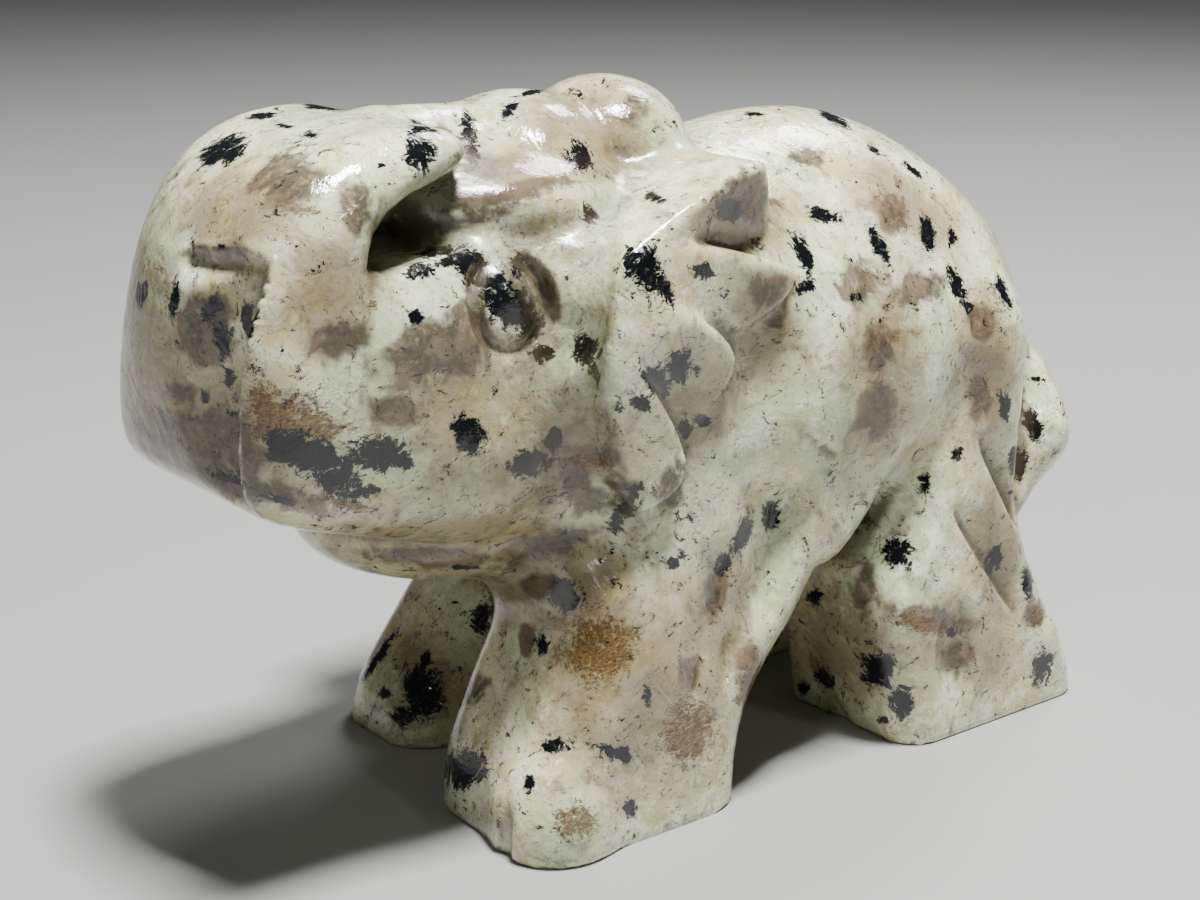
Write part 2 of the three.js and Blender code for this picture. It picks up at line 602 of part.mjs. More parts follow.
const stone = new THREE.MeshStandardMaterial({ color: 0xc9cfb9, roughness: 0.18, metalness: 0 });

const elephant = new THREE.Mesh(makeGeometry(), stone);
elephant.name = 'elephant';

const part = new THREE.Group();
part.add(elephant);

export default part;
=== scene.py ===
"""A small elephant carved from one piece of polished, speckled stone, on a pale floor.

The carving is one closed skin over a form worked out from rounded plates, eggs and
bars. Its places are in drawn millimetres: the face looks along -Y, its left is +X,
and the soles stand at Z = 0. The finish is procedural, with painted shade in its
creases and on some shaded lower sides. The mineral marks lie where they are seen in
the photograph, and are strewn from a fixed seed where it shows none.
"""
import math

import bpy
import numpy as np
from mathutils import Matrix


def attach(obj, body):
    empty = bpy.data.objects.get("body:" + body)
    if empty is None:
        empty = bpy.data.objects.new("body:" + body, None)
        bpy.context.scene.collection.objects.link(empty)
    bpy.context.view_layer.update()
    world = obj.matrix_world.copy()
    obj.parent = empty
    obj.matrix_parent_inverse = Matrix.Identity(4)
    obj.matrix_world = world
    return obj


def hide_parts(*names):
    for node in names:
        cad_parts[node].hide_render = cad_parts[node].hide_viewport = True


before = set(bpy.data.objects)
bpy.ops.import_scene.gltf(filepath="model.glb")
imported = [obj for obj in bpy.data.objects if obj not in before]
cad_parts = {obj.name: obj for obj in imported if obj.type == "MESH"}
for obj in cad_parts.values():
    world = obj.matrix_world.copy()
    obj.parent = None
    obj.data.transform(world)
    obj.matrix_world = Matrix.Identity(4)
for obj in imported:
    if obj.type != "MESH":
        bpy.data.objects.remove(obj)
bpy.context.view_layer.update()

MM = 0.001
PHOTO_WIDTH, PHOTO_HEIGHT = 1200, 900

# The photograph's camera, in drawn millimetres and degrees
VIEW_AZIMUTH = 52.0
VIEW_RISE = 16.5
VIEW_DISTANCE = 110.0
VIEW_TARGET = (1.81, 0.0, 17.0)
FOCAL_PIXELS = 2090.0
SENSOR_WIDTH = 36.0

# Skin: the net's cell, how many of them span a coarse cell, and the block they fill
CELL = 0.31
COARSE = 4
BLOCK_LOW = (-15.0, -28.0, -1.0)
BLOCK_HIGH = (15.0, 34.0, 40.0)


# Forms: each function gives how far places are outside, negative within

def ease(value, start, end):
    """0 at start and 1 at end, with a smooth cubic run between."""
    share = np.clip((value - start) / (end - start), 0, 1)
    return share * share * (3 - 2 * share)


def join(a, b, fillet):
    """The nearer of two forms, run into each other by a parabola where they are within a fillet."""
    share = np.maximum(fillet - np.abs(a - b), 0) / fillet
    return np.minimum(a, b) - share * share * fillet / 4


def carve(a, b, fillet):
    """Form a with form b taken out of it."""
    return -join(-a, b, fillet)


def meet(a, b, fillet):
    """What is within both forms."""
    return -join(-a, -b, fillet)


def rounded(points, rounds):
    """Cuts a closed outline's corners at a quarter of each side, a few times over."""
    ring = np.array(points, float)
    for _ in range(rounds):
        after = np.roll(ring, -1, 0)
        pairs = [0.75 * ring + 0.25 * after, 0.25 * ring + 0.75 * after]
        ring = np.stack(pairs, 1).reshape(-1, 2)
    return ring


def outline(points, rounds=2):
    """Distance to a closed outline in the side plane, negative within it. It is worked
    out once on a fine net of places, and read in proportion between four of them."""
    step, low, high = 0.12, (-32.0, -6.0), (36.0, 42.0)
    ring = rounded(points, rounds)
    ys = np.arange(low[0], high[0], step)
    zs = np.arange(low[1], high[1], step)
    y, z = np.meshgrid(ys, zs, indexing="ij")
    nearest = np.full(y.shape, np.inf)
    within = np.zeros(y.shape, bool)
    for (ay, az), (by, bz) in zip(ring, np.roll(ring, -1, 0)):
        ey, ez = by - ay, bz - az
        share = np.clip(((y - ay) * ey + (z - az) * ez) / (ey * ey + ez * ez), 0, 1)
        nearest = np.minimum(nearest, (y - ay - ey * share) ** 2 + (z - az - ez * share) ** 2)
        if az != bz:
            within ^= ((az > z) != (bz > z)) & (y < ey * (z - az) / ez + ay)
    net = np.where(within, -1, 1) * np.sqrt(nearest)

    def read(y, z):
        u = np.clip((y - low[0]) / step, 0, len(ys) - 1.001)
        v = np.clip((z - low[1]) / step, 0, len(zs) - 1.001)
        i, j = u.astype(int), v.astype(int)
        u, v = u - i, v - j
        near = net[i, j] * (1 - v) + net[i, j + 1] * v
        far = net[i + 1, j] * (1 - v) + net[i + 1, j + 1] * v
        return near * (1 - u) + far * u
    return read


def plate(points, start, end, edge, rounds=2):
    """A side outline carried across from one side to the other, its edges rounded."""
    side = outline(points, rounds)

    def at(x, y, z):
        within = side(y, z) + edge
        across = np.abs(x - (start + end) / 2) - ((end - start) / 2 - edge)
        corner = np.hypot(np.maximum(within, 0), np.maximum(across, 0))
        return np.minimum(np.maximum(within, across), 0) + corner - edge
    return at


def egg(centre, half, side=1):
    """An ellipsoid: the reach in half-sizes less one, over how fast that reach grows."""
    def at(x, y, z):
        q = [(x - side * centre[0]) / half[0], (y - centre[1]) / half[1], (z - centre[2]) / half[2]]
        reach = np.sqrt(sum(v * v for v in q))
        slope = np.sqrt(sum((v / h) ** 2 for v, h in zip(q, half)))
        return reach * (reach - 1) / np.maximum(slope, 1e-9)
    return at


def bar(a, b, radius_a, radius_b, side=1):
    """A bar with round ends: the distance to the line from a to b, less its radius there."""
    a = np.array([side * a[0], a[1], a[2]])
    along = np.array([side * b[0], b[1], b[2]]) - a

    def at(x, y, z):
        q = [x - a[0], y - a[1], z - a[2]]
        share = np.clip(sum(v * e for v, e in zip(q, along)) / (along @ along), 0, 1)
        off = np.sqrt(sum((v - share * e) ** 2 for v, e in zip(q, along)))
        return off - (radius_a + (radius_b - radius_a) * share)
    return at


def cut(a, b, face, depths, walls, side=1, fade=(0, 0)):
    """A V-shaped cut along a line from a to b in the side plane, into a side that stands
    at x = face. Its depth runs from depths[0] to depths[1]; each wall slopes by its own
    amount for each millimetre off the line, below it and above it. It fades in and out
    over the lengths in fade."""
    reach = math.hypot(b[0] - a[0], b[1] - a[1])
    ey, ez = (b[0] - a[0]) / reach, (b[1] - a[1]) / reach
    overrun, floor_fillet, lift = 0.3, 0.15, 2.0

    def at(x, y, z):
        along = (y - a[0]) * ey + (z - a[1]) * ez
        off = (z - a[1]) * ey - (y - a[0]) * ez
        share = np.clip(along / reach, -overrun, 1 + overrun)
        depth = depths[0] + (depths[1] - depths[0]) * share
        if fade[0]:
            depth = depth - lift * (1 - ease(along, 0, fade[0]))
        if fade[1]:
            depth = depth - lift * ease(along, reach - fade[1], reach)
        floor = face - depth - side * x
        low = (floor - walls[0] * off) / math.hypot(1, walls[0])
        high = (floor + walls[1] * off) / math.hypot(1, walls[1])
        ends = np.maximum(-along - overrun, along - reach - overrun)
        return np.maximum(meet(low, high, floor_fillet), ends)
    return at


def hoop(centre, half, wire, tilt, side=1):
    """An oval trench with a round floor, open outwards. It sinks in by tilt for each
    millimetre up."""
    def at(x, y, z):
        reach = np.hypot((y - centre[1]) / half[0], (z - centre[2]) / half[1])
        off = (reach - 1) * min(half)
        deep = np.minimum(side * x - centre[0] + tilt * (z - centre[2]), 0)
        return np.hypot(off, deep) - wire
    return at


def lean(x, z, level, rate):
    """Draws the sides in with height above a level."""
    return x * (1 + rate * np.maximum(z - level, 0))


# Outlines in the side plane: (along Y, up Z)
TRUNK = [(-24.2, 20.9), (-22.6, 18.6), (-17, 16.8), (-10, 15.0), (-4, 14.8), (2, 16), (6, 22), (6, 28),
         (2, 32.2), (-4, 32.2), (-8, 32.2), (-9.4, 34.4), (-13, 35.7), (-17.6, 35.1), (-21.6, 33.0),
         (-24.1, 28.6)]
FRONT_LEG = [(-11.0, -4), (-11.2, 2.5), (-9.4, 6.5), (-7.2, 10.5), (-6.8, 16), (-4, 22), (0, 27),
             (6, 28.5), (9.8, 27), (10.2, 18), (10.0, 13.2), (7.0, 9.6), (4.0, 6.4), (2.4, 3.4), (2.3, -4)]
FAR_FRONT_LEG = [(-9.4, -4), (-9.0, 2.0), (-5.9, 6), (-2.9, 10), (-2.2, 16), (-2, 22), (0, 27), (6, 28.5),
                 (10.2, 26), (10.8, 18), (10.4, 13.4), (7.5, 9.6), (4.3, 6.4), (3.4, 3.4), (3.3, -4)]
HIND_LEG = [(13.4, -4), (12.6, 3), (11.4, 7), (10.6, 11), (14.2, 15), (15.1, 19.5), (18, 23), (21, 23),
            (22.6, 19.5), (22.4, 14), (22.8, 10.6), (24.3, 7), (26.6, 3.2), (27.4, 0.5), (27.6, -4)]
SLOT = [(-17.2, 29.4), (-17.2, 30.6), (-15.6, 32.2), (-12, 32.9), (-8, 32.8), (-5.2, 32.4),
        (-4.6, 31.6), (-9.6, 30.6), (-14.4, 29.6)]
BELLY = [(4, 25), (4, 12), (8.3, 10.4), (11.2, 12.6), (14.2, 16.6), (15.9, 20.2), (15.0, 25)]
BROW = [(-17.1, 27.0), (-17.1, 30.6), (-15.6, 32.3), (-12, 33.4), (-9, 34.2), (-4, 36), (4, 36), (4, 27)]
# The ear's four lobes from the top down. Each begins with its upper edge: front, then back.
EAR_LOBES = [
    [(-7.0, 29.4), (2.6, 33.6), (4.0, 32.0), (4.9, 29.0), (4.6, 27.4), (0, 26), (-6, 25), (-8.2, 26.6)],
    [(-5.8, 30.8), (4.2, 28.1), (4.6, 27.2), (3.8, 26.0), (1.2, 24.7), (-1.5, 25), (-6, 24.5), (-8, 26.4)],
    [(-5.6, 28.8), (0.5, 24.7), (0.7, 22.6), (-1.0, 20.6), (-3.0, 19.6), (-5.5, 20.5), (-7.5, 23),
     (-7.6, 26.8)],
    [(-7.8, 28.0), (-2.4, 19.9), (-2.4, 18.2), (-4.0, 17.0), (-7.0, 16.9), (-7.9, 19.5)],
]


def make_head():
    """Trunk and face in one plate that narrows above and below, its far front edge
    rounded away and its brow planed off, with a cheek on each side, the jaw below and
    the trunk's bend rounded off behind."""
    face = plate(TRUNK, -8.3, 8.7, 2.8)
    swell, widest = 0.0011, 24.5
    jaw = egg((0.3, -7.0, 15.8), (6.8, 10.0, 3.9))
    brow = outline(BROW, 1)
    cheeks = [egg((3.0, -10.5, 20.6), (6.3, 7.5, 4.4)), egg((-2.8, -10.5, 20.6), (6.1, 7.5, 4.4))]
    bend_ends = [egg((9.6, -7.6, 32.6), (4.6, 4.4, 3.0)), egg((-9.2, -7.6, 32.6), (4.6, 4.4, 3.0))]
    edge_at, edge_normal = (-5.8, -24.0, 26.0), (-1, -1.1, 0.35)
    bevel_at, bevel_normal = (8.9, 28.9), (0.62, 0.785)

    def at(d, x, y, z):
        away = sum((v - c) * n for v, c, n in zip((x, y, z), edge_at, edge_normal))
        head = face(x * (1 + swell * (z - widest) ** 2), y, z)
        head = meet(head, away / np.linalg.norm(edge_normal), 4)
        bevel = (bevel_at[0] - np.abs(x)) * bevel_normal[0] + (bevel_at[1] - z) * bevel_normal[1]
        head = carve(head, np.maximum(brow(y, z), bevel), 2.4)
        for cheek in cheeks:
            head = join(head, cheek(x, y, z), 1.6)
        for end in bend_ends:
            head = carve(head, end(x, y, z), 1.0)
        return join(join(d, head, 2.5), jaw(x, y, z), 0.35)
    return at


def make_legs():
    """Four legs, each with its shoulder or thigh. The back edge of a shoulder and the
    front edge of a thigh stand proud of the body, the other edges run into it."""
    front = plate(FRONT_LEG, 0.9, 11.9, 3.0)
    front_far = plate(FAR_FRONT_LEG, 3.2, 11.4, 2.8)
    toe = egg((9.4, -8.9, 1.4), (2.9, 2.8, 3.4))
    hind = plate(HIND_LEG, 2.2, 12.8, 2.0)
    hind_far = plate(HIND_LEG, 2.0, 11.6, 2.0)

    def at(d, x, y, z):
        shoulder = 0.8 + 2.2 * ease(y, 9, 3) * ease(z, 2, 9) + 3.0 * ease(z, 22, 27)
        thigh = 0.9 + 3.5 * ease(y, 17, 22) + 2.0 * ease(z, 18, 23)
        fore, rear = lean(x, z, 9, 0.014), lean(x, z, 4, 0.009)
        d = join(d, join(front(fore, y, z), toe(x, y, z), 1.5), shoulder)
        d = join(d, front_far(-fore, y, z), shoulder)
        d = join(d, hind(rear, y, z), thigh)
        return join(d, hind_far(-rear, y, z), thigh)
    return at


def make_trunk_end():
    """The trunk's end in two lobes on the forehead, and the run that joins it to the bend."""
    tip = egg((0.3, 1.3, 32.9), (4.7, 4.2, 3.5))
    lobe = egg((0.4, -4.0, 33.0), (4.6, 4.3, 3.0))
    link = bar((0.3, -5, 33.1), (0.3, -12, 33.7), 2.4, 2.1)

    def at(d, x, y, z):
        lobes = join(tip(x, y, z), lobe(x, y, z), 0.5)
        return join(d, join(lobes, link(x, y, z), 1.0), 0.8)
    return at


def make_ear(side):
    """An ear in four lobes that lap like shingles: each sinks in below its upper edge,
    the more so towards the back, and the next one's upper edge stands over it."""
    sinks = (0.5, 0.22, 0.30, 0.16)
    lean_above, lean_ahead = 0.13, 0.06
    lobes = []
    for lobe, sink in zip(EAR_LOBES, sinks):
        (ay, az), (by, bz) = lobe[:2]
        reach = math.hypot(by - ay, bz - az)
        lobes.append((plate(lobe, 4.0, 12.3, 0.6), ay, az, (by - ay) / reach, (bz - az) / reach, sink))

    def at(d, x, y, z):
        out = side * x + lean_above * np.maximum(z - 26, 0) + lean_ahead * np.maximum(-y - 2, 0)
        ear = np.full(x.shape, 9.0)
        for fan, ay, az, ey, ez, sink in lobes:
            along = (y - ay) * ey + (z - az) * ez
            below = np.maximum((y - ay) * ez - (z - az) * ey, 0)
            ear = join(ear, fan(out + sink * below * ease(along, 1.5, 7), y, z), 0.25)
        fillet = 0.4 + 2.2 * ease(y, -2.5, -7) + 1.0 * ease(z, 29, 32)
        return join(d, ear, fillet)
    return at


def make_slot():
    """The slot between the trunk and the forehead, open right through at its front end
    and closed by a rounded web behind."""
    slot = plate(SLOT, -20, 20, 0.3, 1)
    web = egg((0.3, -7.2, 31.4), (7.2, 7.4, 2.8))
    return lambda d, x, y, z: join(carve(d, slot(x, y, z), 0.5), web(x, y, z), 1.2)


def make_face_cuts(side):
    """One side of the head: the valley in front of the ear, the eye in its groove, and
    the channel between cheek and ear."""
    valley = bar((10.3, -8.0, 29.2), (10.2, -8.2, 25.4), 1.4, 1.2, side)
    groove = hoop((8.35, -10.3, 27.4), (2.0, 2.15), 0.4, 0.25, side)
    eye = egg((7.2, -10.3, 27.4), (1.5, 1.8, 1.95), side)
    channel = bar((11.0, -8.4, 24.0), (10.6, -7.4, 15.5), 0.5, 2.2, side)

    def at(d, x, y, z):
        d = carve(d, valley(x, y, z), 1.4)
        d = carve(d, groove(x, y, z), 0.2)
        d = join(d, eye(x, y, z), 0.2)
        return carve(d, channel(x, y, z), 1.4)
    return at


def make_trunk_front():
    """A crease down the trunk's near edge and a ledge across its front."""
    crease = cut((6.1, 18.6), (7.4, 30.2), 23.6, (0.8, 1.4), (4, 0.3))
    ledge = cut((0.0, 29.8), (7.6, 30.5), 23.0, (0.1, 0.8), (0.9, 0.5), 1, (2, 0))

    def at(d, x, y, z):
        return carve(carve(d, crease(-y, x, z), 0.2), ledge(-y, x, z), 0.2)
    return at


def make_belly():
    """The belly's side, full down to a crease over each thigh, which is hollowed beside it."""
    sides = []
    for side, face in ((1, 11.3), (-1, 10.6)):
        upper = bar((face + 1.5, 17.2, 20.0), (face + 1.3, 13.2, 13.8), 1.2, 1.9, side)
        lower = bar((face + 1.3, 13.2, 13.8), (face + 0.6, 9.8, 9.4), 1.9, 1.6, side)
        sides.append((upper, lower, plate(BELLY, 0, face, 2.2), side))

    def at(d, x, y, z):
        for upper, lower, fold, side in sides:
            d = carve(d, join(upper(x, y, z), lower(x, y, z), 0.6), 1.8)
            d = join(d, fold(side * x, y, z), 0.3 + 3.5 * ease(z, 14, 20))
        return d
    return at


def make_leg_folds():
    """Long folds down the backs of the front legs, the creases and the hollow on each
    thigh, and the grooves that part the toes of the near feet."""
    near = [
        cut((7.2, 17.6), (-1.6, 4.1), 12.0, (1.2, 1.1), (0.3, 1.0), 1, (3.5, 5.5)),
        cut((2.4, 15.8), (-3.2, 4.2), 12.0, (0.9, 0.9), (0.25, 0.6), 1, (3.5, 5.5)),
    ]
    far = [cut((7.2, 17.6), (-1.0, 5.0), 11.5, (0.7, 0.6), (0.3, 0.9), 1, (3.5, 3.5))]
    thighs = []
    for side, face in ((1, 12.8), (-1, 11.6)):
        low_crease = cut((14.6, 15.6), (22.8, 4.0), face, (0.6, 0.9), (2.5, 0.42), side, (5, 4))
        hollow = egg((face + 0.8, 16.4, 4.8), (1.5, 1.3, 2.6), side)
        high_crease = cut((17.6, 18.2), (22.8, 9.6), face - 0.2, (0.5, 1.3), (3, 0.5), side, (3.5, 2.5))
        thighs += [(low_crease, 0.25), (hollow, 1.2), (high_crease, 0.25)]
    toes = [
        bar((9.0, -11.9, -0.5), (9.6, -11.9, 4.0), 0.55, 0.3),
        bar((7.6, 12.6, -0.5), (5.0, 12.2, 3.4), 0.8, 0.3),
    ]

    def at(d, x, y, z):
        fore, rear = lean(x, z, 9, 0.014), lean(x, z, 4, 0.009)
        for fold in near:
            d = carve(d, fold(fore, y, z), 0.4)
        for fold in far:
            d = carve(d, fold(-fore, y, z), 0.4)
        for thigh, fillet in thighs:
            d = carve(d, thigh(rear, y, z), fillet)
        for toe in toes:
            d = carve(d, toe(x, y, z), 0.5)
        return d
    return at


def make_tail():
    """The tail, laid to the left against the rump: bars from place to place."""
    places = [((2.6, 27.4, 20.0), 1.6), ((6.2, 26.5, 17.2), 2.4), ((7.6, 26.6, 14.8), 2.5),
              ((8.8, 23.2, 10.6), 1.3)]
    fillet = 1.4
    links = [bar(a, b, ra, rb) for (a, ra), (b, rb) in zip(places, places[1:])]

    def at(d, x, y, z):
        tail = links[0](x, y, z)
        for link in links[1:]:
            tail = join(tail, link(x, y, z), fillet)
        return join(d, tail, fillet)
    return at


def make_figure():
    """The whole figure: neck and body, planed down a little over the rump, then each step
    in turn, and all cut off flat at the soles."""
    body = egg((0.3, 12.9, 20.9), (11.2, 16.4, 12.9))
    neck = egg((0, 1.6, 21), (10.2, 11, 11.2))
    steps = [make_head(), make_legs(), make_belly(), make_trunk_end(), make_ear(1), make_ear(-1),
             make_slot(), make_face_cuts(1), make_face_cuts(-1), make_trunk_front(),
             make_leg_folds(), make_tail()]
    slant, slant_reach = (0.62, 0.785), 38.35

    def at(places):
        x, y, z = places.T
        rump = meet(body(x, y, z), y * slant[0] + z * slant[1] - slant_reach, 3)
        d = join(rump, neck(x, y, z), 4)
        for step in steps:
            d = step(d, x, y, z)
        return np.maximum(d, -z)
    return at


# Skin

def sample(figure):
    """The form's values on a net of cells: everywhere on a coarse net, then on the fine
    one only near the surface. Elsewhere only the sign counts."""
    low = np.array(BLOCK_LOW)
    big, near_reach = CELL * COARSE, 1.6
    count = np.ceil((np.array(BLOCK_HIGH) - low) / big).astype(int)
    places = [low[a] + big * np.arange(count[a] + 1) for a in range(3)]
    rough = figure(np.stack(np.meshgrid(*places, indexing="ij"), -1).reshape(-1, 3)).reshape(count + 1)
    corner = [slice(0, -1), slice(1, None)]
    around = np.stack([rough[i, j, k] for i in corner for j in corner for k in corner])
    near = np.abs(around).min(0) < big * near_reach
    value = np.where(around[0] < 0, -big, big)
    for axis in range(3):
        near = np.repeat(near, COARSE, axis)
        value = np.repeat(value, COARSE, axis)
    value = np.pad(value, (0, 1), mode="edge")
    fine = np.zeros(value.shape, bool)
    for i in (0, 1):
        for j in (0, 1):
            for k in (0, 1):
                fine[i:i + near.shape[0], j:j + near.shape[1], k:k + near.shape[2]] |= near
    value[fine] = figure(low + CELL * np.argwhere(fine))
    return low, value


def cover(figure):
    """A closed skin over the form's zero level. Each cell that the surface passes
    through gets a point, in the middle of its crossings with the cell's edges, and each
    crossed edge joins the four cells round it into a face. The carving has no two
    parameters that a grid could follow, so it is covered in this way."""
    low, value = sample(figure)
    inside = value < 0
    cells = np.array(value.shape) - 1
    total = np.zeros((*cells, 3))
    count = np.zeros(cells)
    for axis in range(3):
        others = [a for a in range(3) if a != axis]
        start, end = [slice(None)] * 3, [slice(None)] * 3
        start[axis], end[axis] = slice(0, -1), slice(1, None)
        a, b = value[tuple(start)], value[tuple(end)]
        crossed = (a < 0) != (b < 0)
        share = np.where(crossed, a / np.where(crossed, a - b, 1.0), 0.0)
        for first in (0, 1):
            for second in (0, 1):
                part = [slice(None)] * 3
                part[others[0]] = slice(first, first + cells[others[0]])
                part[others[1]] = slice(second, second + cells[others[1]])
                hit = crossed[tuple(part)]
                count += hit
                total[..., axis] += share[tuple(part)]
                total[..., others[0]] += hit * first
                total[..., others[1]] += hit * second
    live = count > 0
    number = np.full(cells, -1)
    number[live] = np.arange(live.sum())
    points = low + CELL * (np.argwhere(live) + total[live] / count[live][:, None])
    faces = []
    for axis in range(3):
        u, v = (axis + 1) % 3, (axis + 2) % 3
        start, end = [slice(1, -1)] * 3, [slice(1, -1)] * 3
        start[axis], end[axis] = slice(0, -1), slice(1, None)
        a, b = inside[tuple(start)], inside[tuple(end)]
        at = np.argwhere(a != b)
        at[:, u] += 1
        at[:, v] += 1
        ring = np.stack([number[tuple((at - shift).T)] for shift in np.array([
            np.eye(3, dtype=int)[u] + np.eye(3, dtype=int)[v], np.eye(3, dtype=int)[u],
            np.zeros(3, int), np.eye(3, dtype=int)[v]])], 1)
        outward = a[a != b]
        ring[outward] = ring[outward][:, ::-1]
        faces.append(ring)
    return points, np.concatenate(faces)


def slope(figure, points, step=0.03):
    """How the form grows at each point, by differences along the three axes."""
    grown = [figure(points + step * axis) - figure(points - step * axis) for axis in np.eye(3)]
    return np.stack(grown, 1) / (2 * step)


def settle(figure, points, rounds=2):
    """Moves points along the slope on to the zero level; the soles stay flat."""
    least_grade = 0.2
    for _ in range(rounds):
        grade = slope(figure, points)
        move = -figure(points) / np.maximum((grade * grade).sum(1), least_grade)
        points = points + np.clip(move, -CELL, CELL)[:, None] * grade
    points[:, 2] = np.maximum(points[:, 2], 0)
    return points


figure = make_figure()
points, faces = cover(figure)
points = settle(figure, points)
normals = slope(figure, points)
normals /= np.maximum(np.linalg.norm(normals, axis=1), 1e-9)[:, None]
middle = np.array([*(points.min(0) + points.max(0))[:2] / 2, 0.0])


def make_mesh(name, places, rings):
    """A mesh of four-sided faces, shaded smooth, from drawn millimetres."""
    mesh = bpy.data.meshes.new(name)
    mesh.vertices.add(len(places))
    mesh.vertices.foreach_set("co", ((places - middle) * MM).astype(np.float32).ravel())
    mesh.loops.add(rings.size)
    mesh.loops.foreach_set("vertex_index", rings.astype(np.int32).ravel())
    mesh.polygons.add(len(rings))
    mesh.polygons.foreach_set("loop_start", np.arange(0, rings.size, 4, dtype=np.int32))
    mesh.update(calc_edges=True)
    mesh.validate()
    mesh.shade_smooth()
    return mesh


carving_mesh = make_mesh("elephant_carving", points, faces)
carving = bpy.data.objects.new("elephant_carving", carving_mesh)
bpy.context.scene.collection.objects.link(carving)
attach(carving, "root")
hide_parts("elephant")


# Camera

def view_axes():
    """The way back to the camera, its right and its up, as unit vectors."""
    turn, rise = math.radians(VIEW_AZIMUTH), math.radians(VIEW_RISE)
    back = np.array([math.sin(turn) * math.cos(rise), -math.cos(turn) * math.cos(rise), math.sin(rise)])
    right = np.array([math.cos(turn), math.sin(turn), 0.0])
    return back, right, np.cross(back, right)


BACK, RIGHT, UP = view_axes()
EYE_POINT = np.array(VIEW_TARGET) + VIEW_DISTANCE * BACK


def in_photo(places):
    """Where places land in the photograph, in pixels, and how far off they are."""
    away = places - EYE_POINT
    depth = -(away @ BACK)
    across = PHOTO_WIDTH / 2 + FOCAL_PIXELS * (away @ RIGHT) / depth
    down = PHOTO_HEIGHT / 2 - FOCAL_PIXELS * (away @ UP) / depth
    return across, down, depth


def make_camera():
    """The photograph's camera, with its lens from the focal length in pixels."""
    data = bpy.data.cameras.new("camera")
    data.sensor_width = SENSOR_WIDTH
    data.lens = SENSOR_WIDTH * FOCAL_PIXELS / PHOTO_WIDTH
    data.clip_start = 0.005
    camera = bpy.data.objects.new("camera", data)
    camera.location = (EYE_POINT - middle) * MM
    camera.rotation_euler = (math.radians(90 - VIEW_RISE), 0, math.radians(VIEW_AZIMUTH))
    bpy.context.scene.collection.objects.link(camera)
    bpy.context.scene.camera = camera


make_camera()


# Marks in the stone

MARK_REACH = 1.5  # half-sizes at which a mark has faded out
MARK_DEPTH = 1.5  # half depth of a strewn mark, in half widths
MARK_SEED = 7
# Heights from which the cut-in measure for the painted crease shade is taken
PAINTED_SHADE_REACHES = (0.6, 1.6)  # heights above the skin from which it is measured

